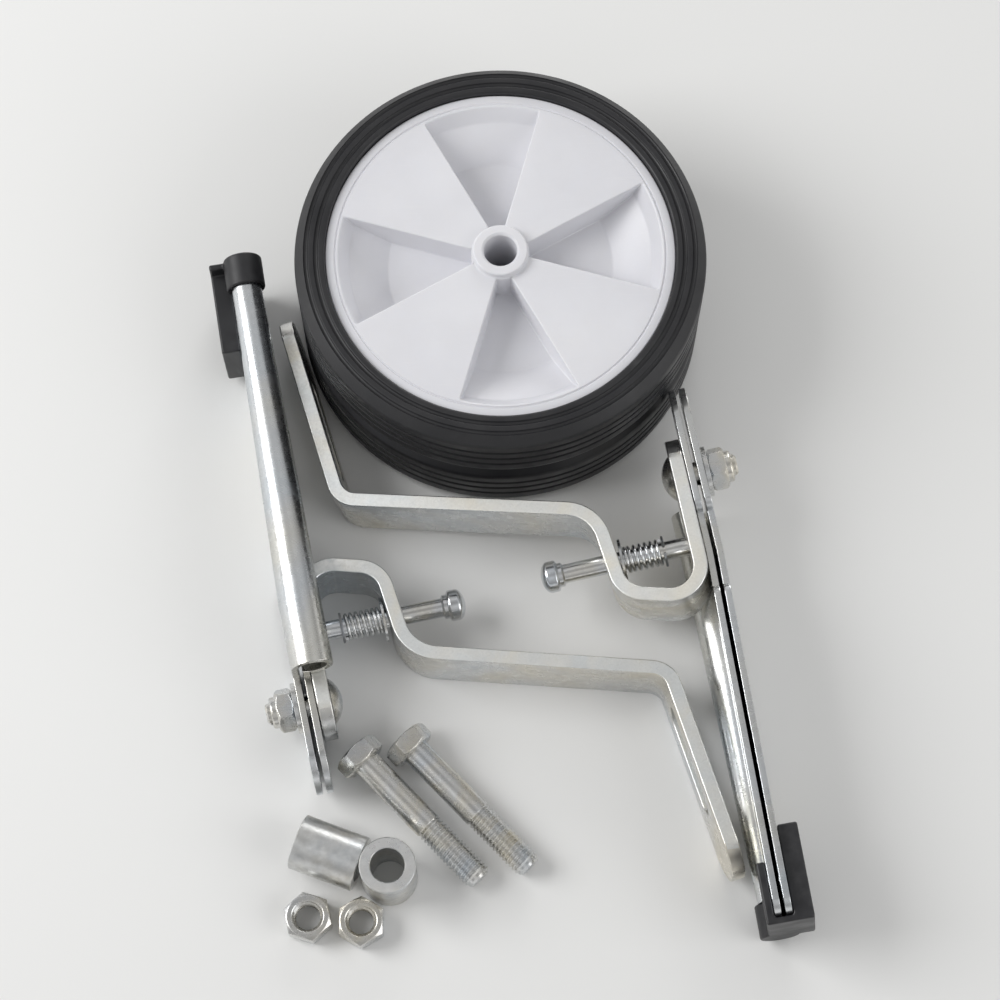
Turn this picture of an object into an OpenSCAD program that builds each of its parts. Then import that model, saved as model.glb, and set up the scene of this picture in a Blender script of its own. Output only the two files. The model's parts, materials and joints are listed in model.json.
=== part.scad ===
// Flip-up training wheels as they lie unpacked: two stacked wheels, two bent brackets with folded
// steel arms, spring pull pins and the loose axle hardware. Millimetres, Z up, floor at zero.

/* [Wheel] */
// Outer diameter of the tyre
tyre_d = 138; // [125:1:160]
// Width of the tyre
tyre_w = 28; // [24:1:34]
// Height of the tyre above the plastic disc
tyre_h = 10.5; // [8:0.5:13]
// Length of the hub tube beyond the tyre's width
hub_over = 1; // [0.5:0.5:6]
// Diameter of the hub tube
hub_d = 18.3; // [16:0.1:24]
// Diameter of the hub bore
hub_bore_d = 11.2; // [9.8:0.1:13]
// Wall of the moulded disc
disc_wall = 2.4; // [1.8:0.1:3.2]
// Depth of the recessed sectors at the hub
recess_depth = 12; // [8:0.5:14]

/* [Bracket] */
// Width of the steel strip
strip_w = 25.4; // [22:0.2:30]
// Thickness of the steel strip
strip_t = 4.76; // [4:0.1:6]
// Straight leg that goes on the bicycle's axle, to the bend's corner
axle_leg_l = 71; // [60:1:90]
// Sloping part between the two outer corners
slope_l = 86; // [76:1:100]
// Wall of the U that the pull pin slides in, corner to corner
wall_l = 30.2; // [27:0.5:36]
// Floor of the U, corner to corner
base_l = 28.1; // [26:0.5:34]
// Pivot height above the U's outer corner
pivot_up = 46; // [42:1:56]
// Angle by which the slope and the U's floor lean
slope_deg = 16; // [10:0.5:22]
// Angle by which the wall and the axle leg open from the end leg
splay_deg = 6; // [2:0.5:9]
// Width of the slot for the bicycle's axle
slot_w = 10.5; // [9.8:0.1:13]
// Length of the slot from end to end
slot_l = 38; // [26:1:44]

/* [Arm] */
// Pivot to the wheel end of the arm
arm_l = 152; // [130:1:180]
// Thickness of the folded sheet
sheet_t = 2.2; // [1.6:0.1:2.4]
// Gap between the two flanges
seam_gap = 1.3; // [0.8:0.1:2]
// Diameter of the round fold at the pivot end
fold_d = 14; // [12.5:0.1:15]
// Diameter of the round fold at the wheel end
fold_end_d = 10; // [9.5:0.1:12]
// Centre of the round fold above the pivot axis
fold_up = 20.2; // [20:0.1:24]
// Inward bend of the arm past the bracket
toe_deg = 2.5; // [0:0.5:4]
// Wheel axle's hole from the wheel end
axle_hole_in = 14; // [11:0.5:20]

/* [Pull pin] */
// Diameter of the pin
pin_d = 6.4; // [5.6:0.1:7]
// Distance from the pivot to the pin
pin_pitch = 24; // [22:0.5:26]
// Travel from drawn back to pushed home
pin_travel = 6.8; // [6.8:0.1:8]
// Diameter of the knob
knob_d = 10.6; // [9.4:0.1:14]
// Shank that shows between the wall and the knob when drawn back
shank_show = 13.5; // [12:0.5:18]

/* [Hardware] */
// Diameter of the wheel axle bolts
axle_d = 9.5; // [8:0.1:9.7]
// Length of an axle bolt under its head
axle_l = 54; // [50:1:80]
// Width across the flats of the axle nuts and bolt heads
axle_af = 14.3; // [13.5:0.1:17]
// Outer diameter of the spacer sleeves
sleeve_d = 18.4; // [16:0.1:20]
// Length of a spacer sleeve
sleeve_l = 22; // [18:0.5:24]
// Diameter of the pivot bolts
pivot_d = 8; // [7:0.1:8.4]
// Width across the flats of the pivot nuts
pivot_af = 13; // [12.5:0.1:14]

/* [Hidden] */
$fn = 64;

// overrun of every cut past the face it opens
cut = 1;
// running clearance of a shaft in its hole, on the radius
run_fit = 0.06;
// seat clearance between pieces that only lie together
seat = 0.1;
// points along each bend and each rounded corner, and around the arm's round fold
bend_steps = 16;
fold_steps = 28;
// how far a rounding cut runs past the edge that it rounds
ease = 0.05;

// tyre section
tyre_r = tyre_d / 2;
disc_r = tyre_r - tyre_h;
hub_l = tyre_w + hub_over;
shoulder_share = 0.476;
shoulder_r = tyre_h * shoulder_share;
bead_h = 2;
bead_w = 12;
tread_groove_w = 1.6;
tread_groove_h = 1.4;
tread_groove_pitch = 5;
side_groove_r = 0.8;
side_groove_shares = [0.3, 0.62];
side_grooves = [for (s = side_groove_shares) disc_r + s * (tyre_r - disc_r)];

// disc section
rim_t = 4.2;
face_step = 2.5;
disc_face = hub_l / 2 - face_step;
rim_in_r = disc_r - rim_t;
ramp_shares = [0.65, 0.87];
ramp_in_r = disc_r * ramp_shares[0];
ramp_out_r = disc_r * ramp_shares[1];
rim_recess_share = 0.42;
rim_recess = recess_depth * rim_recess_share;
hub_r = hub_d / 2;
bore_r = hub_bore_d / 2;
hub_chamfer = 0.6;
sector_count = 8;
sector_turn = 4.5;
rib_end = 3.5;
ledge = 0.5;
line_r = 0.45;
line_in = 1;

// bracket path in the plane of its end leg: x outwards across the legs, y along the end leg
u_bend_r = 10;
s_bend_r = 14;
slope_bend_r = 8;
leg_end_r = strip_w / 2;
end_ease = 0.3;
slot_from_corner = 10;
pin_r = pin_d / 2;
pivot_r = pivot_d / 2;
lock_clear = 0.3;
slope_head = 180 - slope_deg;
wall_head = 90 + splay_deg;
function along(p, head, l) = [p[0] + l * cos(head), p[1] + l * sin(head)];
leg_end = [0, leg_end_r];
u_outer = [0, -pivot_up];
u_inner = along(u_outer, slope_head, base_l);
s_corner = along(u_inner, wall_head, wall_l);
axle_corner = along(s_corner, slope_head, slope_l);
axle_end = along(axle_corner, wall_head, axle_leg_l);
bracket_path = [leg_end, u_outer, u_inner, s_corner, axle_corner, axle_end];
bracket_bends = [0, u_bend_r, u_bend_r, s_bend_r, slope_bend_r, 0];
wall_x = u_inner[0] - (-pin_pitch - u_inner[1]) * tan(splay_deg);
wall_skew = (leg_end_r / 2) * tan(splay_deg);
wall_face = wall_x + strip_t / 2 / cos(splay_deg);

// arm
side_gap = 0.3;
web_t = 2 * sheet_t + seam_gap;
web_in = strip_t / 2 + side_gap;
web_x = web_in + web_t / 2;
web_out = web_in + web_t;
web_short = 0.5;
web_down = leg_end_r - web_short;
fold_r = fold_d / 2;
fold_end_r = fold_end_d / 2;
fold_start = 7;
toe_past = 6;
toe_start = pin_pitch + toe_past;
tongue_over = 6;
tongue_past = pin_pitch + tongue_over;
relief_from = 12;
relief_to = 46;
relief_h = 4;
web_corner_r = 6;
axle_clear = 0.15;
axle_hole_r = axle_d / 2 + axle_clear;

// end cap of the arm
cap_wall = 1.6;
cap_end = 2.2;
cap_wrap = 9;
cap_pad_l = 31;
cap_pad_t = 6.5;
cap_inner_t = 3;
cap_inner_l = 20;
cap_low = 9;

// pivot stack
pivot_head_d = 15.5;
pivot_head_h = 3.6;
pivot_washer_d = 17;
pivot_washer_t = 1.6;
pivot_nut_t = 5.8;
pivot_collar_h = 2;
pivot_collar_d = 10.6;
pivot_tail = 1.6;
stack_gap = 0.2;
pivot_washer_x = web_out + stack_gap;
pivot_nut_x = pivot_washer_x + pivot_washer_t;
pivot_tip_x = pivot_nut_x + pivot_nut_t + pivot_collar_h + pivot_tail;

// pull pin and its spring
pin_tip_x = strip_t / 2 - seat;
pin_tip_chamfer = 1;
knob_l = 7.6;
knob_neck_step = 0.9;
knob_neck_r = pin_r + knob_neck_step;
knob_neck_l = 1.8;
knob_x = wall_x - wall_skew - strip_t / 2 - shank_show;
pin_washer_d = 15;
pin_washer_t = 1;
pin_washer_x = wall_face + wall_skew + seat;
clip_t = 0.8;
clip_d = 10.4;
clip_slot_deg = 50;
clip_home_gap = 1;
clip_home = strip_t / 2 + clip_home_gap;
clip_x = -clip_home - pin_travel - clip_t;
clip_groove = 0.6;
spring_wire_r = 0.6;
spring_clear = 0.25;
spring_r = pin_r + spring_wire_r + spring_clear;
spring_turns = 7;
spring_from = pin_washer_x + pin_washer_t + seat;
spring_to = clip_x - seat;
wire_sides = 8;
turn_steps = 16;

// hardware
head_h = 6.2;
nut_h = 8.2;
sleeve_bore_r = 5.6;
bolt_chamfer = 1;
hex_chamfer = 0.14;
axle_r = axle_d / 2;
bolt_tilt = asin((axle_af / 2 - axle_r) / axle_l);

// where the groups lie on the floor, and how they are turned
set_shift = [4.93, 73.27];
layout_tyre_r = 69;
layout_slope_l = 86;
slope_more = slope_l - layout_slope_l;
// a longer slope moves the right side's pivot out, so that its axle leg stays beside the wheel stack
right_layout_at = [55.7, -67.3];
right_turn = 8.8;
right_head = slope_head + right_turn;
right_at = along(right_layout_at, right_head, -slope_more);
// the wheel stack stays against the right bracket's axle leg and clear of its arm: a larger tyre or a
// shorter slope moves it up along that leg
stack_at = [-1.3, 4.8];
wheel_away_shares = [0.42, 2.3];
wheel_lift_shares = [0.29, -1.11];
wheel_at = stack_at + (tyre_r - layout_tyre_r) * wheel_away_shares + min(0, slope_more) * wheel_lift_shares;
left_at = [-66, -136];
left_turn = 189.5;
sleeve_1_at = [-76, -181.5];
sleeve_1_turn = -23;
sleeve_2_at = [-46.6, -193.2];
axle_nut_1_at = [-56.2, -208.2];
axle_nut_1_turn = 27;
axle_nut_2_at = [-73.5, -206];
axle_nut_2_turn = 40;
bolt_1_at = [-52.9, -155.8];
bolt_1_turn = -48;
bolt_2_at = [-36.5, -152.6];
bolt_2_turn = -48;

// how far the right side leans so that its arm's fold and its axle leg both touch the floor
lean_x = axle_end[0] + leg_end_r * sin(splay_deg) - strip_t / 2 / cos(splay_deg);
fold_x = web_out - fold_r;
fold_reach = norm([fold_x - lean_x, leg_end_r - fold_up]);
lean_deg = asin(fold_r / fold_reach) + atan2(fold_up - leg_end_r, fold_x - lean_x);
right_up = leg_end_r * cos(lean_deg) - lean_x * sin(lean_deg);

module place_set() {
    translate([set_shift[0], set_shift[1], 0]) children();
}

module place_right() {
    place_set()
        translate([right_at[0], right_at[1], right_up])
        rotate([0, 0, right_turn])
        rotate([0, -lean_deg, 0])
        mirror([0, 0, 1])
        children();
}

module place_left() {
    place_set()
        translate([left_at[0], left_at[1], leg_end_r])
        rotate([0, 0, left_turn])
        children();
}

module place_wheel(level) {
    place_set() translate([wheel_at[0], wheel_at[1], hub_l * (level + 1 / 2)]) children();
}

// a cylinder along x from x0 to x1
module rod_x(x0, x1, r) {
    translate([x0, 0, 0]) rotate([0, 90, 0]) cylinder(h = x1 - x0, r = r);
}

// Wheel

module tyre_section() {
    flat_h = tyre_w / 2 - shoulder_r;
    difference() {
        union() {
            translate([disc_r + seat, -tyre_w / 2])
                square([tyre_r - shoulder_r - disc_r - seat, tyre_w]);
            translate([disc_r + seat, -flat_h]) square([tyre_r - disc_r - seat, 2 * flat_h]);
            for (s = [-1, 1]) translate([tyre_r - shoulder_r, s * flat_h]) circle(shoulder_r);
            translate([disc_r - bead_h + seat, -bead_w / 2]) square([bead_h + cut, bead_w]);
        }
        for (i = [-1, 0, 1])
            translate([tyre_r - tread_groove_h, i * tread_groove_pitch - tread_groove_w / 2])
                square([tread_groove_h + cut, tread_groove_w]);
        for (r = side_grooves, s = [-1, 1]) translate([r, s * tyre_w / 2]) circle(side_groove_r);
    }
}

module tyre(level) {
    color([0.07, 0.07, 0.08]) place_wheel(level) rotate_extrude($fn = 128) tyre_section();
}

// the disc before its pockets are cut: hub, plate as deep as the ribs, and the ring with its channel
module disc_blank() {
    channel_h = bead_w / 2 + seat;
    polygon([
        [0, -hub_l / 2], [hub_r, -hub_l / 2],
        [hub_r, disc_face - recess_depth - disc_wall - rib_end],
        [rim_in_r + ledge, rib_end - disc_face],
        [rim_in_r + ledge, -disc_face], [disc_r, -disc_face],
        [disc_r, -channel_h], [disc_r - bead_h, -channel_h], [disc_r - bead_h, channel_h], [disc_r, channel_h],
        [disc_r, disc_face], [hub_r, disc_face], [hub_r, hub_l / 2], [0, hub_l / 2]
    ]);
}

// pocket of a recessed sector: flat by the hub, then a ramp that runs out at the ring
module front_pocket() {
    ramp_out = (rim_in_r - ramp_out_r) / rim_recess;
    polygon([
        [hub_r + ledge, disc_face - recess_depth], [ramp_in_r, disc_face - recess_depth],
        [ramp_out_r, disc_face - rim_recess], [rim_in_r + cut * ramp_out, disc_face + cut],
        [hub_r + ledge, disc_face + cut]
    ]);
}

// hollow under a recessed sector, one wall below its floor
module back_under_recess() {
    half = disc_wall / 2;
    polygon([
        [hub_r + ledge, disc_face - recess_depth - disc_wall], [ramp_in_r + half, disc_face - recess_depth - disc_wall],
        [ramp_out_r + half, disc_face - rim_recess - disc_wall], [rim_in_r, disc_face - disc_wall],
        [rim_in_r, -disc_face - cut], [hub_r + ledge, -disc_face - cut]
    ]);
}

module back_under_face() {
    polygon([
        [hub_r + ledge, disc_face - disc_wall], [rim_in_r, disc_face - disc_wall],
        [rim_in_r, -disc_face - cut], [hub_r + ledge, -disc_face - cut]
    ]);
}

// one sector of a turned profile, for every second sector from the given one on
module sectors(first) {
    step = 360 / sector_count;
    for (i = [first : 2 : sector_count - 1]) rotate([0, 0, step * (i - 1 / 2)])
        rotate_extrude(angle = step, $fn = 128) children();
}

module disc_pockets() {
    step = 360 / sector_count;
    difference() {
        union() {
            sectors(0) front_pocket();
            sectors(0) back_under_recess();
            sectors(1) back_under_face();
        }
        for (i = [0 : sector_count - 1]) rotate([0, 0, step * (i + 1 / 2)])
            translate([0, -disc_wall / 2, -hub_l]) cube([disc_r, disc_wall, 2 * hub_l]);
    }
}

module disc(level) {
    color([0.93, 0.93, 0.95]) place_wheel(level) rotate([0, 0, sector_turn]) difference() {
        rotate_extrude($fn = 128) disc_blank();
        disc_pockets();
        cylinder(h = hub_l + 2 * cut, r = bore_r, center = true);
        for (s = [0, 1]) mirror([0, 0, s]) translate([0, 0, hub_l / 2 - hub_chamfer])
            cylinder(h = 2 * hub_chamfer, r1 = bore_r, r2 = bore_r + 2 * hub_chamfer);
        rotate_extrude($fn = 128) translate([rim_in_r + line_in, disc_face]) circle(line_r);
    }
}

// Bracket

function head_of(a, b) = atan2(b[1] - a[1], b[0] - a[0]);
function turn_of(a, b, c) = let (t = head_of(b, c) - head_of(a, b)) t > 180 ? t - 360 : t < -180 ? t + 360 : t;
function trim_at(path, bends, i) =
    bends[i] == 0 ? 0 : bends[i] * tan(abs(turn_of(path[i - 1], path[i], path[i + 1])) / 2);

// points of one bend, at distance d to the left of the centreline
function bend_points(path, bends, i, d) = let (
    head = head_of(path[i - 1], path[i]),
    turn = turn_of(path[i - 1], path[i], path[i + 1]),
    side = sign(turn),
    start = along(path[i], head, -trim_at(path, bends, i)),
    centre = along(start, head + side * 90, bends[i])
) arc_points(centre, bends[i] - side * d, head - side * 90, turn);

function arc_points(centre, r, from, sweep, n = bend_steps) =
    [for (k = [0 : n]) along(centre, from + sweep * k / n, r)];

function strip_side(path, bends, d) = let (n = len(path) - 1) concat(
    [along(path[0], head_of(path[0], path[1]) + 90, d)],
    [for (i = [1 : n - 1]) each bend_points(path, bends, i, d)],
    [along(path[n], head_of(path[n - 1], path[n]) + 90, d)]
);

function backwards(v) = [for (i = [len(v) - 1 : -1 : 0]) v[i]];

module bent_strip(path, bends, t, w) {
    linear_extrude(w, center = true)
        polygon(concat(strip_side(path, bends, t / 2), backwards(strip_side(path, bends, -t / 2))));
}

// takes the corners off the end of a strip, leaving it round
module round_end(at, head) {
    r = leg_end_r + end_ease;
    translate([at[0], at[1], 0]) rotate([0, 0, head]) difference() {
        translate([-leg_end_r, -strip_t, -strip_w]) cube([leg_end_r + cut, 2 * strip_t, 2 * strip_w]);
        translate([-r, strip_t + cut, 0]) rotate([90, 0, 0]) cylinder(h = 2 * strip_t + 2 * cut, r = r);
    }
}

module bracket() {
    axle_slot_r = slot_w / 2;
    color([0.78, 0.78, 0.76]) difference() {
        bent_strip(bracket_path, bracket_bends, strip_t, strip_w);
        round_end(leg_end, 90);
        round_end(axle_end, wall_head);
        rod_x(-strip_t, strip_t, pivot_r + run_fit);
        translate([0, -pin_pitch, 0]) rod_x(-strip_t, strip_t, pin_r + run_fit);
        translate([0, -pin_pitch, 0]) rod_x(wall_x - 2 * strip_t, wall_x + 2 * strip_t, pin_r + run_fit);
        translate([axle_corner[0], axle_corner[1], 0]) rotate([0, 0, wall_head]) {
            for (x = [slot_from_corner + axle_slot_r, slot_from_corner + slot_l - axle_slot_r])
                translate([x, strip_t, 0]) rotate([90, 0, 0]) cylinder(h = 2 * strip_t, r = axle_slot_r);
            translate([slot_from_corner + axle_slot_r, -strip_t, -axle_slot_r])
                cube([slot_l - slot_w, 2 * strip_t, slot_w]);
        }
    }
}

// Arm: a folded sheet with a round fold along one edge and two flanges side by side

module toe() {
    translate([web_x, -toe_start, 0]) rotate([0, 0, -toe_deg]) translate([-web_x, toe_start, 0]) children();
}

// one face of the folded sheet in the x-z plane, from the inner flange's edge over the fold and down
// to the outer flange's edge; d is the depth below the outside
function sheet_line(r, d) = let (
    cx = web_out - r,
    first = -acos((web_in + d - cx) / (r - d))
) concat(
    [[web_in + d, -web_down]],
    arc_points([cx, fold_up], r - d, first, -360 - first, fold_steps),
    [[web_out - d, -web_down]]
);

// the sheet's section at y, bent inwards past the crease
function sheet_ring(y, r) = let (
    a = y < -toe_start ? toe_deg : 0,
    flat = concat(sheet_line(r, 0), backwards(sheet_line(r, sheet_t)))
) [for (q = flat) let (x = q[0] - web_x, v = y + toe_start)
    [web_x + x * cos(a) + v * sin(a), -toe_start - x * sin(a) + v * cos(a), q[1]]];

module folded_sheet() {
    n = fold_steps + 3;
    rings = [[tongue_past, fold_r], [-toe_start, fold_r], [-arm_l, fold_end_r]];
    pts = [for (q = rings) each sheet_ring(q[0], q[1])];
    sides = [for (i = [0 : len(rings) - 2], k = [0 : 2 * n - 1]) let (
        a = i * 2 * n + k,
        b = i * 2 * n + (k + 1) % (2 * n)
    ) each [[a, b, b + 2 * n], [a, b + 2 * n, a + 2 * n]]];
    far = 2 * n * (len(rings) - 1);
    first = [for (k = [0 : n - 2]) [k, 2 * n - 1 - k, 2 * n - 2 - k, k + 1]];
    last = [for (k = [0 : n - 2]) [far + k, far + k + 1, far + 2 * n - 2 - k, far + 2 * n - 1 - k]];
    polyhedron(points = pts, faces = concat(first, sides, last), convexity = 8);
}

// a cutter in the y-z plane that runs through both flanges
module through_sides() {
    translate([web_in - fold_d, 0, 0]) rotate([90, 0, 90]) linear_extrude(web_t + 2 * fold_d) children();
}

module tongue_cutter() {
    tail = tongue_past - web_down;
    polygon(concat(
        [[tail, -web_down - cut]],
        arc_points([tail, 0], web_down + ease, -90, 180),
        [[tail, web_down + cut], [tongue_past + cut, web_down + cut], [tongue_past + cut, -web_down - cut]]
    ));
}

// relief in the seam edge beside the bracket's bend
module relief_cutter() {
    polygon(concat(
        [[-relief_from, -web_down - cut]],
        arc_points([-relief_from, relief_h - web_down], relief_h + ease, 270, -90),
        arc_points([-relief_to, relief_h - web_down], relief_h + ease, 0, -90),
        [[-relief_to, -web_down - cut]]
    ));
}

module wheel_end_cutter() {
    polygon(concat(
        [[-arm_l - cut, -web_down - cut], [web_corner_r - arm_l, -web_down - cut]],
        arc_points([web_corner_r - arm_l, web_corner_r - web_down], web_corner_r + ease, 270, -90),
        [[-arm_l - cut, web_corner_r - web_down]]
    ));
}

module arm() {
    color([0.76, 0.77, 0.78]) difference() {
        folded_sheet();
        translate([-fold_d, -fold_start, web_down])
            cube([3 * fold_d, fold_start + tongue_past + cut, fold_up + fold_r]);
        through_sides() tongue_cutter();
        through_sides() relief_cutter();
        toe() through_sides() wheel_end_cutter();
        toe() translate([0, axle_hole_in - arm_l, 0]) rod_x(web_in - cut, web_out + cut, axle_hole_r);
        rod_x(web_in - cut, web_out + cut, pivot_r + run_fit);
        for (y = [-pin_pitch, pin_pitch])
            translate([0, y, 0]) rod_x(web_in - cut, web_out + cut, pin_r + lock_clear);
    }
}

module arm_cap() {
    wrap_r = fold_end_r + cap_wall;
    color([0.06, 0.06, 0.07]) toe() difference() {
        union() {
            translate([web_out - fold_end_r, cap_wrap - arm_l, fold_up]) rotate([90, 0, 0])
                cylinder(h = cap_wrap + cap_end, r = wrap_r);
            translate([web_out + seat, -arm_l - cap_end, -cap_low])
                cube([cap_pad_t, cap_pad_l, cap_low + fold_up - fold_end_r]);
            translate([web_in - cap_inner_t, -arm_l - cap_end, -cap_low])
                cube([cap_inner_t - seat, cap_inner_l, cap_low + fold_up - fold_end_r]);
            translate([web_in - cap_inner_t, -arm_l - cap_end, -cap_low])
                cube([web_t + cap_inner_t + cap_pad_t + seat, cap_end - seat, cap_low + fold_up]);
        }
        translate([web_out - fold_end_r, cap_wrap - arm_l + cut, fold_up]) rotate([90, 0, 0])
            cylinder(h = cap_wrap + cut + seat, r = fold_end_r + 3 * seat);
        translate([web_in - seat, -arm_l - seat, -cap_low - cut])
            cube([web_t + 2 * seat, cap_pad_l + cut, cap_low + fold_up + cut]);
        translate([0, axle_hole_in - arm_l, 0]) rod_x(web_in - 2 * cap_pad_t, web_out + 2 * cap_pad_t, axle_hole_r);
    }
}

// Pivot stack, along x through the end leg and the arm

module hex_prism(af, h) {
    intersection() {
        cylinder(h = h, r = af / 2 / cos(30), $fn = 6);
        union() {
            e = af * hex_chamfer;
            corner_r = af / 2 / cos(30);
            translate([0, 0, e / 2]) cylinder(h = h - e, r = corner_r + cut);
            cylinder(h = e / 2, r1 = corner_r - e, r2 = corner_r);
            translate([0, 0, h - e / 2]) cylinder(h = e / 2, r1 = corner_r, r2 = corner_r - e);
        }
    }
}

// points of a dome of diameter d and height h on top of z, from its foot to its crown
function dome_points(d, h, z, dir) = let (
    r = (d * d / 4 + h * h) / (2 * h),
    first = asin((r - h) / r)
) [for (k = [0 : bend_steps]) let (a = first + (90 - first) * k / bend_steps) [r * cos(a), z + dir * (h - r + r * sin(a))]];

// turns a profile of radius and place around the x axis
module turned_x() {
    rotate([0, 90, 0]) rotate_extrude() children();
}

module pivot_bolt() {
    head_x = -strip_t / 2 - seat / 2;
    color([0.8, 0.8, 0.79]) turned_x() polygon(concat(
        [[0, pivot_tip_x], [pivot_r - bolt_chamfer, pivot_tip_x], [pivot_r, pivot_tip_x - bolt_chamfer]],
        [[pivot_r, head_x]],
        dome_points(pivot_head_d, pivot_head_h, head_x, -1)
    ));
}

// takes the chamfer off the end of a shaft of radius r
module tip_cut(r, c) {
    difference() {
        cylinder(h = 2 * c, r = r + cut);
        cylinder(h = c, r1 = r, r2 = r - c);
    }
}

module pivot_washer() {
    color([0.72, 0.73, 0.74]) difference() {
        rod_x(pivot_washer_x, pivot_washer_x + pivot_washer_t - seat / 2, pivot_washer_d / 2);
        rod_x(pivot_washer_x - cut, pivot_nut_x + cut, pivot_r + 2 * run_fit);
    }
}

module pivot_nut() {
    color([0.8, 0.8, 0.78]) difference() {
        union() {
            translate([pivot_nut_x, 0, 0]) rotate([0, 90, 0]) hex_prism(pivot_af, pivot_nut_t);
            rod_x(pivot_nut_x + pivot_nut_t / 2, pivot_nut_x + pivot_nut_t + pivot_collar_h, pivot_collar_d / 2);
        }
        rod_x(pivot_nut_x - cut, pivot_tip_x + cut, pivot_r + run_fit);
    }
}

// Pull pin

module pull_pin() {
    dome_h = knob_l / 3;
    groove_r = pin_r - clip_groove;
    groove_a = clip_x + clip_t + seat / 2;
    groove_b = clip_x - seat / 2;
    color([0.8, 0.81, 0.82]) translate([0, -pin_pitch, 0]) turned_x() polygon(concat(
        [[0, pin_tip_x], [pin_r - pin_tip_chamfer, pin_tip_x], [pin_r, pin_tip_x - pin_tip_chamfer]],
        [[pin_r, groove_a], [groove_r, groove_a], [groove_r, groove_b], [pin_r, groove_b]],
        [[pin_r, knob_x], [knob_neck_r, knob_x], [knob_neck_r, knob_x - knob_neck_l]],
        [[knob_d / 2, knob_x - knob_neck_l]],
        dome_points(knob_d, dome_h, knob_x - knob_l + dome_h, -1)
    ));
}

module pin_clip() {
    color([0.55, 0.56, 0.58]) translate([clip_x, -pin_pitch, 0]) rotate([0, 90, 0]) difference() {
        cylinder(h = clip_t, r = clip_d / 2);
        translate([0, 0, -cut]) cylinder(h = clip_t + 2 * cut, r = pin_r - clip_groove + seat / 2);
        translate([0, 0, -cut]) rotate([0, 0, -clip_slot_deg / 2]) rotate_extrude(angle = clip_slot_deg)
            square([clip_d, clip_t + 2 * cut]);
    }
}

module pin_washer() {
    color([0.72, 0.73, 0.74]) translate([0, -pin_pitch, 0]) difference() {
        rod_x(pin_washer_x, pin_washer_x + pin_washer_t, pin_washer_d / 2);
        rod_x(pin_washer_x - cut, pin_washer_x + pin_washer_t + cut, pin_r + lock_clear);
    }
}

// centre of the wire at step i: closed turns at both ends, open between
function spring_lift(s) = s < 1 ? 0 : s > spring_turns - 1 ? 1 : (s - 1) / (spring_turns - 2);
spring_dead_share = 1.03;
spring_dead = 2 * spring_wire_r * spring_dead_share;
function spring_at(i) = let (
    s = i / turn_steps,
    body = spring_to - spring_from - 2 * spring_wire_r - 2 * spring_dead,
    x = min(s, 1) * spring_dead + spring_lift(s) * body + max(s - spring_turns + 1, 0) * spring_dead
) [spring_from + spring_wire_r + x, 360 * s];

module pin_spring() {
    rings = spring_turns * turn_steps;
    pts = [for (i = [0 : rings], k = [0 : wire_sides - 1]) let (
        c = spring_at(i),
        a = 360 * k / wire_sides,
        r = spring_r + spring_wire_r * cos(a)
    ) [c[0] + spring_wire_r * sin(a), r * cos(c[1]), r * sin(c[1])]];
    sides = [for (i = [0 : rings - 1], k = [0 : wire_sides - 1]) let (
        n = (k + 1) % wire_sides,
        a = i * wire_sides,
        b = a + wire_sides
    ) [a + k, a + n, b + n, b + k]];
    first = [for (k = [0 : wire_sides - 1]) wire_sides - 1 - k];
    last = [for (k = [0 : wire_sides - 1]) rings * wire_sides + k];
    color([0.85, 0.86, 0.88]) translate([0, -pin_pitch, 0])
        polyhedron(points = pts, faces = concat([first], sides, [last]), convexity = 8);
}

// Loose hardware

module axle_bolt(at, turn) {
    color([0.78, 0.79, 0.8]) place_set()
        translate([at[0], at[1], axle_af / 2]) rotate([0, 0, turn]) rotate([0, bolt_tilt, 0]) {
            translate([-head_h, 0, 0]) rotate([0, 90, 0]) rotate([0, 0, 30]) hex_prism(axle_af, head_h);
            difference() {
                rod_x(-seat, axle_l, axle_r);
                translate([axle_l - bolt_chamfer, 0, 0]) rotate([0, 90, 0]) tip_cut(axle_r, bolt_chamfer);
            }
        }
}

module axle_nut(at, turn) {
    color([0.82, 0.82, 0.8]) place_set() translate([at[0], at[1], 0]) rotate([0, 0, turn]) difference() {
        hex_prism(axle_af, nut_h);
        translate([0, 0, -cut]) cylinder(h = nut_h + 2 * cut, r = axle_r + run_fit);
    }
}

module sleeve() {
    difference() {
        cylinder(h = sleeve_l, r = sleeve_d / 2);
        translate([0, 0, -cut]) cylinder(h = sleeve_l + 2 * cut, r = sleeve_bore_r);
    }
}

module sleeve_lying(at, turn) {
    color([0.6, 0.61, 0.62]) place_set() translate([at[0], at[1], sleeve_d / 2]) rotate([0, 0, turn])
        rotate([0, 90, 0]) sleeve();
}

module sleeve_standing(at) {
    color([0.6, 0.61, 0.62]) place_set() translate([at[0], at[1], 0]) sleeve();
}

tyre(1);  // wheel_upper_tyre
disc(1);  // wheel_upper_disc
tyre(0);  // wheel_lower_tyre
disc(0);  // wheel_lower_disc
place_right() bracket();  // bracket_right
place_right() arm();  // arm_right
place_right() arm_cap();  // arm_cap_right
place_right() pivot_bolt();  // pivot_bolt_right
place_right() pivot_washer();  // pivot_washer_right
place_right() pivot_nut();  // pivot_nut_right
place_right() pull_pin();  // pull_pin_right
place_right() pin_clip();  // pin_clip_right
place_right() pin_spring();  // pin_spring_right
place_right() pin_washer();  // pin_washer_right
place_left() bracket();  // bracket_left
place_left() arm();  // arm_left
place_left() arm_cap();  // arm_cap_left
place_left() pivot_bolt();  // pivot_bolt_left
place_left() pivot_washer();  // pivot_washer_left
place_left() pivot_nut();  // pivot_nut_left
place_left() pull_pin();  // pull_pin_left
place_left() pin_clip();  // pin_clip_left
place_left() pin_spring();  // pin_spring_left
place_left() pin_washer();  // pin_washer_left
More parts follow.
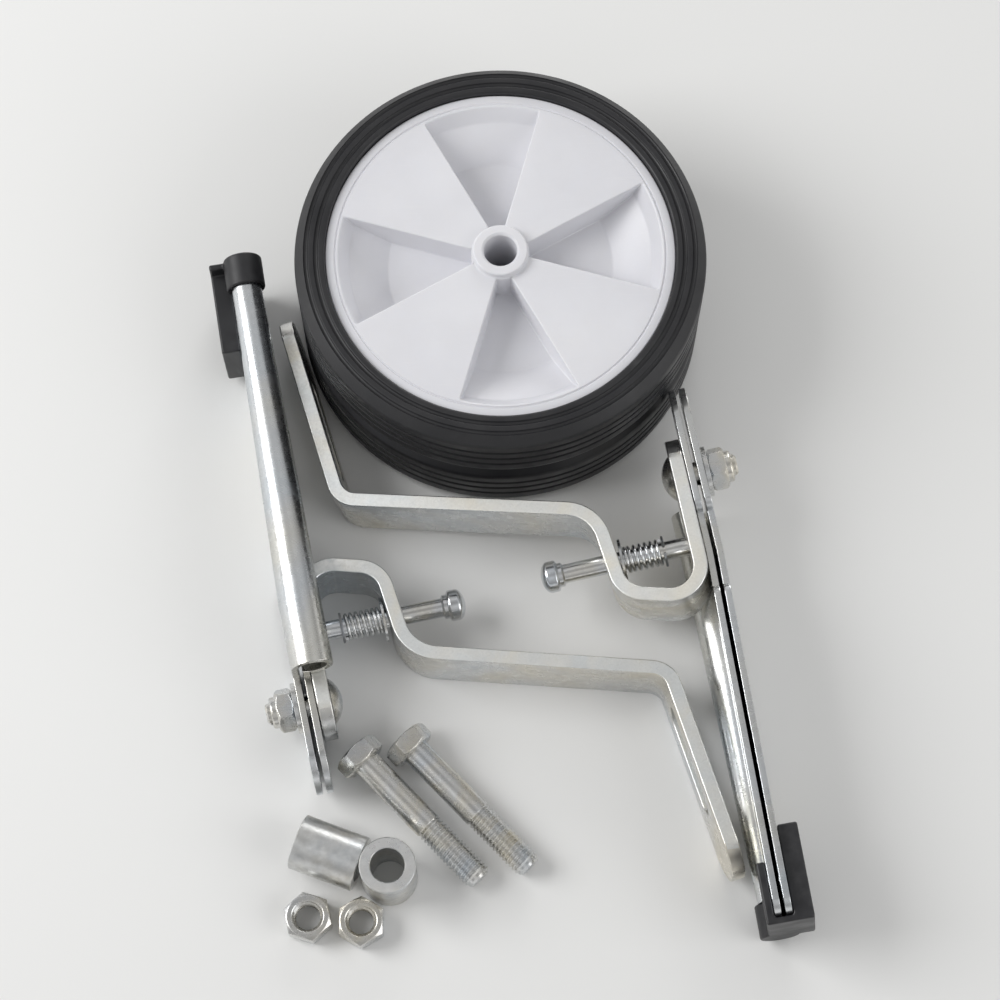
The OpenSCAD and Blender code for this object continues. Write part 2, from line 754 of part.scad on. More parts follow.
axle_bolt(bolt_1_at, bolt_1_turn);  // axle_bolt_1
axle_bolt(bolt_2_at, bolt_2_turn);  // axle_bolt_2
axle_nut(axle_nut_1_at, axle_nut_1_turn);  // axle_nut_1
axle_nut(axle_nut_2_at, axle_nut_2_turn);  // axle_nut_2
sleeve_lying(sleeve_1_at, sleeve_1_turn);  // spacer_sleeve_1
sleeve_standing(sleeve_2_at);  // spacer_sleeve_2
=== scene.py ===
import json
import math

import bpy
from mathutils import Matrix, Vector

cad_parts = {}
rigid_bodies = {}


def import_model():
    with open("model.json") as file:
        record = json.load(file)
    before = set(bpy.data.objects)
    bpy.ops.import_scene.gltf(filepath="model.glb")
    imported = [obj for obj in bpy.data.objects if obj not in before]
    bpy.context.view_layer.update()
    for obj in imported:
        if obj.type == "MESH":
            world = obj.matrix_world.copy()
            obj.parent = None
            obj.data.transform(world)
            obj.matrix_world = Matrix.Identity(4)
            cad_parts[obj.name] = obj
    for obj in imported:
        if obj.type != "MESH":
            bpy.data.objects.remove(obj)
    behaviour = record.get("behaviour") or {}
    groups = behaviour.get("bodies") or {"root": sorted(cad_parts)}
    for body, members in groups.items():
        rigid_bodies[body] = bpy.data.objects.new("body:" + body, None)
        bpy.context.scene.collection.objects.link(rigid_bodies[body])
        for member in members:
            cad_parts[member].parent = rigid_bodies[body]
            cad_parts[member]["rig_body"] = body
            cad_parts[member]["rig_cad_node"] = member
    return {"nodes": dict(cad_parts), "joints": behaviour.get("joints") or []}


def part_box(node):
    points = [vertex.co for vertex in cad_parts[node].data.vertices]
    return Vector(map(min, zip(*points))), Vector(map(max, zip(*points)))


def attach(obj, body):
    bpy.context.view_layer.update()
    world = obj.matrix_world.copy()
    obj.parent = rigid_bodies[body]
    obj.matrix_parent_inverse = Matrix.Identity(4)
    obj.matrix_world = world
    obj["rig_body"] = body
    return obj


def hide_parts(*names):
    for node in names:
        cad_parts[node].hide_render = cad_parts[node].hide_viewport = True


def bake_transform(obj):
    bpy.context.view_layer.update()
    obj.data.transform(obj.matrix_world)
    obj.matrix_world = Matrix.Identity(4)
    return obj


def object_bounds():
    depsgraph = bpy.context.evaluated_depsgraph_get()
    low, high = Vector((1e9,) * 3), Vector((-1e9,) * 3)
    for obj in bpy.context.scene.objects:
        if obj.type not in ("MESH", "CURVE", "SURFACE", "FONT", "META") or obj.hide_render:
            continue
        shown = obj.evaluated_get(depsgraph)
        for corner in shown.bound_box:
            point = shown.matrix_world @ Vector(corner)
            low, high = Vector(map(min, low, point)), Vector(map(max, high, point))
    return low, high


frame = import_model()
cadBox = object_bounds()
mm = 0.001
mergeGap = 0.000002  # points closer than this are one point
flatWithin = 0.06  # degrees between neighbouring faces that still make one flat face
print("frame loaded with", len(frame["nodes"]), "nodes")

joints = {joint["name"]: joint for joint in frame["joints"]}


# hand tools

def turned(axis, degrees):
    return Matrix.Rotation(math.radians(degrees), 4, axis)


def moved(x, y, z):
    return Matrix.Translation((x * mm, y * mm, z * mm))


def onlyPick(piece):
    bpy.ops.object.select_all(action="DESELECT")
    piece.select_set(True)
    bpy.context.view_layer.objects.active = piece


def openForEditing(piece, kind="VERT", selected="SELECT"):
    onlyPick(piece)
    bpy.ops.object.mode_set(mode="EDIT")
    bpy.ops.mesh.select_mode(type=kind)
    bpy.ops.mesh.select_all(action=selected)


def closeEditing():
    bpy.ops.object.mode_set(mode="OBJECT")


def applyModifier(piece, kind, **settings):
    onlyPick(piece)
    bpy.ops.object.modifier_add(type=kind)
    modifier = piece.modifiers[-1]
    for setting, value in settings.items():
        setattr(modifier, setting, value)
    bpy.ops.object.modifier_apply(modifier=modifier.name)


def seatPiece(piece, place):
    # puts a piece made at the origin where it belongs, with its place in its mesh
    piece.matrix_world = place @ piece.matrix_world
    onlyPick(piece)
    bpy.ops.object.transform_apply(location=True, rotation=True, scale=True)


def copyPiece(piece, name):
    onlyPick(piece)
    bpy.ops.object.duplicate()
    twin = bpy.context.active_object
    twin.name = name
    return twin


def joinPieces(name, *pieces):
    onlyPick(pieces[0])
    for piece in pieces:
        piece.select_set(True)
    bpy.ops.object.join()
    pieces[0].name = name
    return pieces[0]


def makeSolid(piece):
    # merges doubles and points every face outwards
    openForEditing(piece)
    bpy.ops.mesh.remove_doubles(threshold=mergeGap)
    bpy.ops.mesh.normals_make_consistent(inside=False)
    closeEditing()


def cutPiece(piece, operation, tool):
    applyModifier(piece, "BOOLEAN", operation=operation, object=tool, solver="MANIFOLD")
    bpy.data.objects.remove(tool)


def drawProfile(name, points, closed):
    # one vertex pulled along the section, point by point, in the x-y plane
    bpy.ops.object.select_all(action="DESELECT")
    bpy.ops.mesh.primitive_plane_add(size=mm, location=(0, 0, 0))
    piece = bpy.context.active_object
    piece.name = name
    openForEditing(piece)
    bpy.ops.mesh.merge(type="CENTER")
    line = [Vector((x * mm, y * mm, 0)) for x, y in points]
    bpy.ops.transform.translate(value=line[0])
    route = line[1:] + (line[:1] if closed else [])
    here = line[0]
    for point in route:
        bpy.ops.mesh.extrude_vertices_move(TRANSFORM_OT_translate={"value": point - here})
        here = point
    if closed:
        bpy.ops.mesh.select_all(action="SELECT")
        bpy.ops.mesh.remove_doubles(threshold=mergeGap)
    closeEditing()
    return piece


def turnPiece(name, points, steps=64, closed=False):
    # a section of places along x and radii along y, turned round the x axis
    piece = drawProfile(name, points, closed)
    openForEditing(piece)
    bpy.ops.mesh.spin(steps=steps, angle=2 * math.pi, center=(0, 0, 0), axis=(1, 0, 0))
    closeEditing()
    makeSolid(piece)
    return piece


def softenEdges(piece, width, rounds=2, sharpFrom=30.0):
    applyModifier(piece, "BEVEL", width=width * mm, segments=rounds, limit_method="ANGLE",
                  angle_limit=math.radians(sharpFrom), use_clamp_overlap=False, miter_outer="MITER_ARC")


def smoothFaces(piece, angle=32.0, weighted=True):
    onlyPick(piece)
    bpy.ops.object.shade_smooth_by_angle(angle=math.radians(angle))
    if weighted:
        applyModifier(piece, "WEIGHTED_NORMAL", weight=60, keep_sharp=True)


def softenedCopy(node, name, width, rounds):
    # a merged copy of a CAD node, its flat faces made whole and its edges softened
    piece = copyPiece(frame["nodes"][node], name)
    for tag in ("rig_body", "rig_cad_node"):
        del piece[tag]
    bpy.ops.object.parent_clear(type="CLEAR_KEEP_TRANSFORM")
    piece.data.materials.clear()
    openForEditing(piece)
    bpy.ops.mesh.customdata_custom_splitnormals_clear()
    bpy.ops.mesh.remove_doubles(threshold=mergeGap)
    bpy.ops.mesh.dissolve_limited(angle_limit=math.radians(flatWithin))
    closeEditing()
    softenEdges(piece, width, rounds)
    smoothFaces(piece)
    return piece


def roundCorners(corners, degreesPerStep=15.0):
    # a closed outline of (x, y, radius) corners, each corner turned into an arc
    outline = []
    count = len(corners)
    for index, (x, y, radius) in enumerate(corners):
        here = Vector((x, y))
        before = Vector(corners[index - 1][:2]) - here
        after = Vector(corners[(index + 1) % count][:2]) - here
        between = before.angle(after)
        reach = radius / math.tan(between / 2)
        inward = (before.normalized() + after.normalized()).normalized()
        centre = here + inward * radius / math.sin(between / 2)
        start = here + before.normalized() * reach - centre
        end = here + after.normalized() * reach - centre
        sweep = math.atan2(start.x * end.y - start.y * end.x, start.dot(end))
        steps = max(2, math.ceil(abs(math.degrees(sweep)) / degreesPerStep))
        for step in range(steps + 1):
            point = Matrix.Rotation(sweep * step / steps, 2) @ start + centre
            outline.append((point.x, point.y))
    return outline


def arcPoints(centre, radius, first, last, count):
    return [(centre[0] + radius * math.cos(math.radians(first + (last - first) * step / count)),
             centre[1] + radius * math.sin(math.radians(first + (last - first) * step / count)))
            for step in range(count + 1)]


def paintCutFaces(piece, direction, least):
    # the faces that look along a direction take the second material
    for face in piece.data.polygons:
        face.material_index = 1 if abs(face.normal.dot(direction)) > least else 0


def finishPiece(piece, body, slotName, *materials):
    piece.data.materials.clear()
    for material in materials:
        piece.data.materials.append(material)
    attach(piece, body)


# nodes

def addNode(tree, kind, links=(), **settings):
    # a node with its settings, its plain input values and the sockets that feed it
    node = tree.nodes.new(kind)
    for setting, value in settings.items():
        setattr(node, setting, value)
    for socketName, source in dict(links).items():
        if isinstance(source, bpy.types.NodeSocket):
            tree.links.new(source, node.inputs[socketName])
        else:
            node.inputs[socketName].default_value = source
    return node


def calculate(tree, operation, *values, clamp=False):
    links = dict(enumerate(values))
    return addNode(tree, "ShaderNodeMath", links, operation=operation, use_clamp=clamp).outputs[0]


def mapValue(tree, source, fromLow, fromHigh, toLow=0.0, toHigh=1.0):
    links = {"Value": source, "From Min": fromLow, "From Max": fromHigh, "To Min": toLow, "To Max": toHigh}
    return addNode(tree, "ShaderNodeMapRange", links).outputs["Result"]


def makeNoise(tree, vector, scale, detail, **more):
    links = {"Vector": vector, "Scale": scale, "Detail": detail, **more}
    return addNode(tree, "ShaderNodeTexNoise", links).outputs["Fac"]


def mixColour(tree, mask, first, second):
    node = addNode(tree, "ShaderNodeMix", data_type="RGBA")
    tree.links.new(mask, node.inputs["Factor"])
    for index, colour in ((6, first), (7, second)):
        if isinstance(colour, bpy.types.NodeSocket):
            tree.links.new(colour, node.inputs[index])
        else:
            node.inputs[index].default_value = (*colour, 1)
    return node.outputs[2]


def newGroup(name, outputs, **inputs):
    # every group reads a place first, then its own values and colours
    group = bpy.data.node_groups.new(name, "ShaderNodeTree")
    group.interface.new_socket(name="Vector", in_out="INPUT", socket_type="NodeSocketVector")
    for label, value in inputs.items():
        kind = "NodeSocketColor" if isinstance(value, tuple) else "NodeSocketFloat"
        socket = group.interface.new_socket(name=label.replace("_", " "), in_out="INPUT", socket_type=kind)
        socket.default_value = value
    for label in outputs:
        kind = "NodeSocketColor" if label == "Color" else "NodeSocketFloat"
        group.interface.new_socket(name=label, in_out="OUTPUT", socket_type=kind)
    return group, group.nodes.new("NodeGroupInput").outputs, group.nodes.new("NodeGroupOutput").inputs


# shared effects

grain = {"fineDetail": 3.0, "fineRoughness": 0.6, "coarseDetail": 4.0, "spread": (0.3, 0.7)}


def makeGrainGroup():
    # moulded or etched grain: a height and a slow mask
    group, entry, leave = newGroup("surfaceGrain", ("Height", "Mask"), Scale=1200.0, Coarse_Scale=120.0)
    fine = makeNoise(group, entry["Vector"], entry["Scale"], grain["fineDetail"], Roughness=grain["fineRoughness"])
    coarse = makeNoise(group, entry["Vector"], entry["Coarse Scale"], grain["coarseDetail"])
    both = calculate(group, "ADD", fine, coarse)
    group.links.new(calculate(group, "MULTIPLY", both, 0.5), leave["Height"])
    group.links.new(coarse, leave["Mask"])
    return group


wear = {"detail": 5.0, "patches": (0.35, 0.65)}


def makeWearGroup():
    # rubbed edges and corners, broken up by noise
    group, entry, leave = newGroup("edgeWear", ("Mask",), Start=0.52, End=0.62, Patch_Scale=180.0)
    shape = group.nodes.new("ShaderNodeNewGeometry")
    rubbed = mapValue(group, shape.outputs["Pointiness"], entry["Start"], entry["End"])
    patches = makeNoise(group, entry["Vector"], entry["Patch Scale"], wear["detail"])
    broken = mapValue(group, patches, *wear["patches"])
    group.links.new(calculate(group, "MULTIPLY", rubbed, broken, clamp=True), leave["Mask"])
    return group


dust = {"detail": 8.0, "roughness": 0.65, "upward": (0.1, 1.0), "spots": (0.4, 0.75)}


def makeDustGroup():
    # a thin film where dust settles, on faces that look up
    group, entry, leave = newGroup("settledDust", ("Mask",), Amount=0.3, Patch_Scale=40.0)
    facing = group.nodes.new("ShaderNodeTexCoord")
    parts = addNode(group, "ShaderNodeSeparateXYZ", {"Vector": facing.outputs["Normal"]})
    upward = mapValue(group, parts.outputs["Z"], *dust["upward"])
    patches = makeNoise(group, entry["Vector"], entry["Patch Scale"], dust["detail"], Roughness=dust["roughness"])
    spots = mapValue(group, patches, *dust["spots"])
    both = calculate(group, "MULTIPLY", upward, spots)
    group.links.new(calculate(group, "MULTIPLY", both, entry["Amount"], clamp=True), leave["Mask"])
    return group


plate = {"driftDetail": 3.0, "driftBend": 0.6, "coolFrom": (0.50, 0.34), "warmFrom": (0.50, 0.66),
         "mottleScale": 90.0, "mottleDetail": 6.0, "mottleRoughness": 0.6, "cellShare": 0.3,
         "roughFrom": (0.35, 0.95), "shadeFrom": (0.3, 1.0), "shadeTo": (1.04, 0.86)}


def makeZincGroup():
    # plated zinc: a slow drift between a cool and a warm tint, with spangle and mottling
    group, entry, leave = newGroup("zincPlate", ("Color", "Roughness", "Height"), Base=(0.72, 0.73, 0.73, 1),
                                   Cool=(0.60, 0.67, 0.74, 1), Warm=(0.78, 0.72, 0.58, 1), Tint=0.5,
                                   Drift_Scale=22.0, Spangle_Scale=420.0, Rough_Low=0.22, Rough_High=0.42)
    place = entry["Vector"]
    drift = makeNoise(group, place, entry["Drift Scale"], plate["driftDetail"], Distortion=plate["driftBend"])
    coolPart = calculate(group, "MULTIPLY", mapValue(group, drift, *plate["coolFrom"]), entry["Tint"])
    warmPart = calculate(group, "MULTIPLY", mapValue(group, drift, *plate["warmFrom"]), entry["Tint"])
    cooled = mixColour(group, coolPart, entry["Base"], entry["Cool"])
    warmed = mixColour(group, warmPart, cooled, entry["Warm"])
    spangle = addNode(group, "ShaderNodeTexVoronoi", {"Vector": place, "Scale": entry["Spangle Scale"]}, feature="F1")
    cells = addNode(group, "ShaderNodeSeparateColor", {"Color": spangle.outputs["Color"]})
    mottle = makeNoise(group, place, plate["mottleScale"], plate["mottleDetail"], Roughness=plate["mottleRoughness"])
    relief = calculate(group, "MULTIPLY_ADD", cells.outputs["Red"], plate["cellShare"], mottle)
    rough = mapValue(group, relief, *plate["roughFrom"], entry["Rough Low"], entry["Rough High"])
    shade = mapValue(group, relief, *plate["shadeFrom"], *plate["shadeTo"])
    toned = addNode(group, "ShaderNodeVectorMath", {0: warmed, "Scale": shade}, operation="SCALE")
    group.links.new(toned.outputs[0], leave["Color"])
    group.links.new(rough, leave["Roughness"])
    group.links.new(relief, leave["Height"])
    return group


scuff = {"turns": (12, 71, 138), "stretch": (1.0, 26.0, 26.0), "detail": 2.0, "thin": (0.66, 0.74)}


def makeScuffGroup():
    # fine handling scratches in three directions
    group, entry, leave = newGroup("handlingScuffs", ("Mask",), Density=0.5, Scale=60.0)
    last = None
    for turn in scuff["turns"]:
        rotation = (math.radians(turn / 2), math.radians(turn / 3), math.radians(turn))
        links = {"Vector": entry["Vector"], "Rotation": rotation, "Scale": scuff["stretch"]}
        across = addNode(group, "ShaderNodeMapping", links)
        lines = makeNoise(group, across.outputs["Vector"], entry["Scale"], scuff["detail"])
        thin = mapValue(group, lines, *scuff["thin"])
        last = thin if last is None else calculate(group, "MAXIMUM", last, thin)
    group.links.new(calculate(group, "MULTIPLY", last, entry["Density"], clamp=True), leave["Mask"])
    return group


surfaceGrain = makeGrainGroup()
edgeWear = makeWearGroup()
settledDust = makeDustGroup()
zincPlate = makeZincGroup()
handlingScuffs = makeScuffGroup()
print("shared effects made")


# finishes

def newMaterial(name, **shaderValues):
    material = bpy.data.materials.new(name)
    material.use_nodes = True
    tree = material.node_tree
    shader = tree.nodes["Principled BSDF"]
    for socketName, value in shaderValues.items():
        shader.inputs[socketName.replace("_", " ")].default_value = value
    place = tree.nodes.new("ShaderNodeTexCoord").outputs["Object"]
    return material, tree, shader, place


def placeGroup(tree, group, place, **values):
    node = addNode(tree, "ShaderNodeGroup", node_tree=group)
    tree.links.new(place, node.inputs["Vector"])
    for socketName, value in values.items():
        node.inputs[socketName.replace("_", " ")].default_value = value
    return node.outputs


def addBump(tree, shader, height, strength, distance):
    bump = addNode(tree, "ShaderNodeBump", {"Height": height, "Strength": strength, "Distance": distance * mm})
    tree.links.new(bump.outputs["Normal"], shader.inputs["Normal"])


def wearOf(tree, place, finish):
    start, end, patch = finish["wear"]
    return placeGroup(tree, edgeWear, place, Start=start, End=end, Patch_Scale=patch)["Mask"]


def dustOf(tree, place, finish):
    amount, patch = finish["dustFilm"]
    return placeGroup(tree, settledDust, place, Amount=amount, Patch_Scale=patch)["Mask"]


def scuffsOf(tree, place, finish):
    density, scale = finish["scuffs"]
    return placeGroup(tree, handlingScuffs, place, Density=density, Scale=scale)["Mask"]


def addGrain(tree, shader, place, finish):
    # the grain sets roughness and relief, and its slow mask is handed back
    fine, coarse = finish["grainScales"]
    surface = placeGroup(tree, surfaceGrain, place, Scale=fine, Coarse_Scale=coarse)
    rough = mapValue(tree, surface["Mask"], *grain["spread"], *finish["rough"])
    tree.links.new(rough, shader.inputs["Roughness"])
    addBump(tree, shader, surface["Height"], finish["bump"], finish["grainDepth"])
    return surface["Mask"]


rubberFinish = {"base": (0.010, 0.010, 0.012), "worn": (0.032, 0.032, 0.034), "dust": (0.16, 0.155, 0.15),
                "rough": (0.36, 0.56), "grainScales": (2600.0, 70.0), "grainDepth": 0.03, "bump": 0.5,
                "wear": (0.53, 0.66, 240.0), "dustFilm": (0.07, 75.0)}


def makeRubber(name, finish):
    material, tree, shader, place = newMaterial(name, Specular_IOR_Level=0.5)
    addGrain(tree, shader, place, finish)
    toned = mixColour(tree, wearOf(tree, place, finish), finish["base"], finish["worn"])
    dusty = mixColour(tree, dustOf(tree, place, finish), toned, finish["dust"])
    tree.links.new(dusty, shader.inputs["Base Color"])
    return material


plasticFinish = {"base": (0.76, 0.76, 0.79), "shade": (0.70, 0.70, 0.735), "dust": (0.55, 0.53, 0.50),
                 "scuff": (0.76, 0.76, 0.78), "rough": (0.30, 0.44), "grainScales": (1500.0, 26.0),
                 "grainDepth": 0.012, "bump": 0.35, "dustFilm": (0.10, 60.0), "scuffs": (0.35, 45.0),
                 "glowDepth": 0.004, "glow": 0.12, "glowTint": (1.0, 0.9, 0.8)}


def makeWhitePlastic(name, finish):
    material, tree, shader, place = newMaterial(name, Specular_IOR_Level=0.5, Subsurface_Weight=finish["glow"],
                                                Subsurface_Scale=finish["glowDepth"],
                                                Subsurface_Radius=finish["glowTint"])
    flow = mapValue(tree, addGrain(tree, shader, place, finish), *grain["spread"])
    toned = mixColour(tree, flow, finish["shade"], finish["base"])
    scuffed = mixColour(tree, scuffsOf(tree, place, finish), toned, finish["scuff"])
    dusty = mixColour(tree, dustOf(tree, place, finish), scuffed, finish["dust"])
    tree.links.new(dusty, shader.inputs["Base Color"])
    return material


capFinish = {"base": (0.012, 0.012, 0.014), "worn": (0.06, 0.06, 0.062), "rough": (0.36, 0.52),
             "grainScales": (1900.0, 150.0), "grainDepth": 0.035, "bump": 0.6, "wear": (0.52, 0.62, 300.0)}


def makeBlackPlastic(name, finish):
    material, tree, shader, place = newMaterial(name, Specular_IOR_Level=0.5)
    addGrain(tree, shader, place, finish)
    toned = mixColour(tree, wearOf(tree, place, finish), finish["base"], finish["worn"])
    tree.links.new(toned, shader.inputs["Base Color"])
    return material


zincFinishes = {
    "bracketZinc": {"base": (0.70, 0.70, 0.69), "cool": (0.58, 0.65, 0.72), "warm": (0.78, 0.71, 0.55), "tint": 0.55,
                    "rough": (0.20, 0.40), "edge": (0.86, 0.86, 0.84), "spangle": 420.0, "drift": 20.0, "depth": 0.020},
    "bracketCut": {"base": (0.80, 0.80, 0.77), "cool": (0.74, 0.78, 0.80), "warm": (0.84, 0.79, 0.66), "tint": 0.5,
                   "rough": (0.36, 0.58), "edge": (0.92, 0.92, 0.90), "spangle": 1500.0, "drift": 60.0, "depth": 0.09},
    "armZinc": {"base": (0.69, 0.705, 0.715), "cool": (0.56, 0.65, 0.73), "warm": (0.76, 0.72, 0.60), "tint": 0.5,
                "rough": (0.18, 0.36), "edge": (0.85, 0.86, 0.86), "spangle": 520.0, "drift": 26.0, "depth": 0.018},
    "boltZinc": {"base": (0.68, 0.68, 0.67), "cool": (0.56, 0.63, 0.71), "warm": (0.76, 0.69, 0.53), "tint": 0.5,
                 "rough": (0.18, 0.34), "edge": (0.84, 0.84, 0.83), "spangle": 900.0, "drift": 60.0, "depth": 0.012},
    "pinZinc": {"base": (0.72, 0.73, 0.74), "cool": (0.58, 0.66, 0.74), "warm": (0.78, 0.73, 0.60), "tint": 0.4,
                "rough": (0.14, 0.28), "edge": (0.86, 0.87, 0.88), "spangle": 900.0, "drift": 60.0, "depth": 0.010},
    "springWire": {"base": (0.74, 0.75, 0.76), "cool": (0.62, 0.68, 0.74), "warm": (0.78, 0.74, 0.64), "tint": 0.35,
                   "rough": (0.16, 0.28), "edge": (0.86, 0.87, 0.88), "spangle": 1400.0, "drift": 90.0, "depth": 0.008},
    "clipSteel": {"base": (0.30, 0.31, 0.33), "cool": (0.24, 0.27, 0.32), "warm": (0.36, 0.33, 0.28), "tint": 0.5,
                  "rough": (0.28, 0.42), "edge": (0.55, 0.56, 0.57), "spangle": 1100.0, "drift": 90.0, "depth": 0.010},
    "sleeveSteel": {"base": (0.60, 0.61, 0.61), "cool": (0.52, 0.58, 0.63), "warm": (0.66, 0.61, 0.50), "tint": 0.45,
                    "rough": (0.26, 0.46), "edge": (0.82, 0.82, 0.81), "spangle": 800.0, "drift": 50.0, "depth": 0.020},
    "sleeveCut": {"base": (0.80, 0.80, 0.79), "cool": (0.74, 0.77, 0.80), "warm": (0.82, 0.79, 0.72), "tint": 0.3,
                  "rough": (0.24, 0.40), "edge": (0.90, 0.90, 0.89), "spangle": 1400.0, "drift": 90.0, "depth": 0.020},
}
zincShared = {"wear": (0.52, 0.64, 420.0), "scuffs": (0.5, 80.0), "scuffRough": 0.16, "scuffDepth": -0.35, "bump": 0.4}


def makeZinc(name, finish):
    material, tree, shader, place = newMaterial(name, Metallic=1.0)
    low, high = finish["rough"]
    colours = {label.capitalize(): (*finish[label], 1) for label in ("base", "cool", "warm")}
    plated = placeGroup(tree, zincPlate, place, Tint=finish["tint"], Drift_Scale=finish["drift"],
                        Spangle_Scale=finish["spangle"], Rough_Low=low, Rough_High=high, **colours)
    edged = mixColour(tree, wearOf(tree, place, zincShared), plated["Color"], finish["edge"])
    tree.links.new(edged, shader.inputs["Base Color"])
    scuffs = scuffsOf(tree, place, zincShared)
    rough = calculate(tree, "MULTIPLY_ADD", scuffs, zincShared["scuffRough"], plated["Roughness"], clamp=True)
    tree.links.new(rough, shader.inputs["Roughness"])
    relief = calculate(tree, "MULTIPLY_ADD", scuffs, zincShared["scuffDepth"], plated["Height"])
    addBump(tree, shader, relief, zincShared["bump"], finish["depth"])
    return material


tyreRubber = makeRubber("tyreRubber", rubberFinish)
discPlastic = makeWhitePlastic("discPlastic", plasticFinish)
capPlastic = makeBlackPlastic("capPlastic", capFinish)
zinc = {name: makeZinc(name, finish) for name, finish in zincFinishes.items()}
print("finishes made:", 3 + len(zinc))


# places, read from the frame

upright = turned("Y", -90)  # brings a piece made along x to stand along z


def sideFrame(side):
    # x runs along the pins, y along the bracket's end leg, both from the pivot
    pivotPlace = Vector(joints[f"arm_{side}_flip"]["pos_m"])
    alongPin = Vector(joints[f"pin_{side}_push"]["axis"]).normalized()
    alongLeg = Vector((0, 0, 1)).cross(alongPin).normalized()
    axes = Matrix((alongPin, alongLeg, alongPin.cross(alongLeg))).transposed().to_4x4()
    return Matrix.Translation(pivotPlace) @ axes


def middleOf(node):
    low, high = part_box(node)
    return (low + high) / 2


sides = {side: sideFrame(side) for side in ("left", "right")}

# wheels

tyre = {"radius": 69.0, "width": 28.0, "inner": 58.6, "lip": 0.9, "beadRadius": 56.6, "beadWidth": 12.0,
        "shoulder": 5.0, "shoulderFrom": 66, "grooveRadius": 0.8, "grooves": (61.65, 65.01), "grooveLead": 0.25,
        "treadPitch": 5.0, "treadGrooveWidth": 1.6, "treadGrooveDepth": 1.4, "steps": 192, "edge": 0.22,
        "sharpFrom": 38.0, "smoothTo": 40.0}


def makeTyre(name):
    half = tyre["width"] / 2
    bead = tyre["beadWidth"] / 2
    radius = tyre["radius"]
    shoulderCentre = (half - tyre["shoulder"], radius - tyre["shoulder"])
    upper = [(bead, tyre["beadRadius"]), (bead, tyre["inner"])]
    upper += arcPoints((half - tyre["lip"], tyre["inner"] + tyre["lip"]), tyre["lip"], -90, 0, 4)
    for grooveAt in tyre["grooves"]:
        if grooveAt < shoulderCentre[1]:
            upper.append((half, grooveAt - tyre["grooveRadius"] - tyre["grooveLead"]))
        upper += arcPoints((half, grooveAt), tyre["grooveRadius"], 270, 90, 6)
    upper += arcPoints(shoulderCentre, tyre["shoulder"], tyre["shoulderFrom"], 90, 6)
    lower = [(-x, y) for x, y in reversed(upper)]
    tread = []
    grooveHalf = tyre["treadGrooveWidth"] / 2
    floorRadius = radius - tyre["treadGrooveDepth"]
    for centre in (tyre["treadPitch"], 0, -tyre["treadPitch"]):
        tread += [(centre + grooveHalf, radius), (centre + grooveHalf, floorRadius)]
        tread += [(centre - grooveHalf, floorRadius), (centre - grooveHalf, radius)]
    piece = turnPiece(name, upper + tread + lower, tyre["steps"], closed=True)
    softenEdges(piece, tyre["edge"], 2, tyre["sharpFrom"])
    smoothFaces(piece, tyre["smoothTo"])
    return piece


tyreMiddles = {level: middleOf(f"wheel_{level}_tyre") for level in ("upper", "lower")}
firstTyre = makeTyre("tyre_upper")
secondTyre = copyPiece(firstTyre, "tyre_lower")
for piece, level in ((firstTyre, "upper"), (secondTyre, "lower")):
    seatPiece(piece, Matrix.Translation(tyreMiddles[level]) @ upright)
    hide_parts(f"wheel_{level}_tyre")
    finishPiece(piece, "set", "tyre_rubber", tyreRubber)
print("tyres turned")

disc = {"radius": 58.5, "hubRadius": 9.15, "boreRadius": 5.6, "hubHalf": 14.5, "mouth": 0.7, "faceHalf": 12.0,
        "channelHalf": 6.1, "channelDepth": 2.0, "rim": 4.2, "recess": 12.0, "wall": 2.4, "ribEnd": 3.5, "ledge": 0.5,
        "rampShares": (0.65, 0.87), "rampDepthShare": 0.42, "sectors": 8, "turn": 4.5, "line": 0.45, "lineIn": 1,
        "lineFloor": 0.1, "over": 1, "soft": 0.5, "sharpFrom": 24.0, "smoothTo": 35.0, "steps": 192,
        "facetTurn": 0.45}
discRimIn = disc["radius"] - disc["rim"]
discStep = 360 / disc["sectors"]


def discBlank(name):
    face = disc["faceHalf"]
    outer = disc["radius"]
    hub = disc["hubRadius"]
    end = disc["hubHalf"]
    bore = disc["boreRadius"]
    mouth = disc["mouth"]
    channel = disc["channelHalf"]
    channelRadius = outer - disc["channelDepth"]
    ledge = discRimIn + disc["ledge"]
    lineAt = discRimIn + disc["lineIn"]
    line = disc["line"]
    lineFloor = disc["lineFloor"]
    backAt = face - disc["recess"] - disc["wall"] - disc["ribEnd"]
    # along the axis, from the axis, and the corner's radius
    corners = [(-end, bore + mouth, 0.2), (-end + mouth, bore, 0.2), (end - mouth, bore, 0.2), (end, bore + mouth, 0.2),
               (end, hub, 0.6), (face, hub, 0.8), (face, lineAt - line, 0.08), (face - line, lineAt - lineFloor, 0.1),
               (face - line, lineAt + lineFloor, 0.1), (face, lineAt + line, 0.08), (face, outer, 0.5),
               (channel, outer, 0.2), (channel, channelRadius, 0.3), (-channel, channelRadius, 0.3),
               (-channel, outer, 0.2), (-face, outer, 0.5), (-face, ledge, 0.4), (disc["ribEnd"] - face, ledge, 0.3),
               (backAt, hub, 0.6), (-end, hub, 0.6)]
    return turnPiece(name, roundCorners(corners), disc["steps"], closed=True)


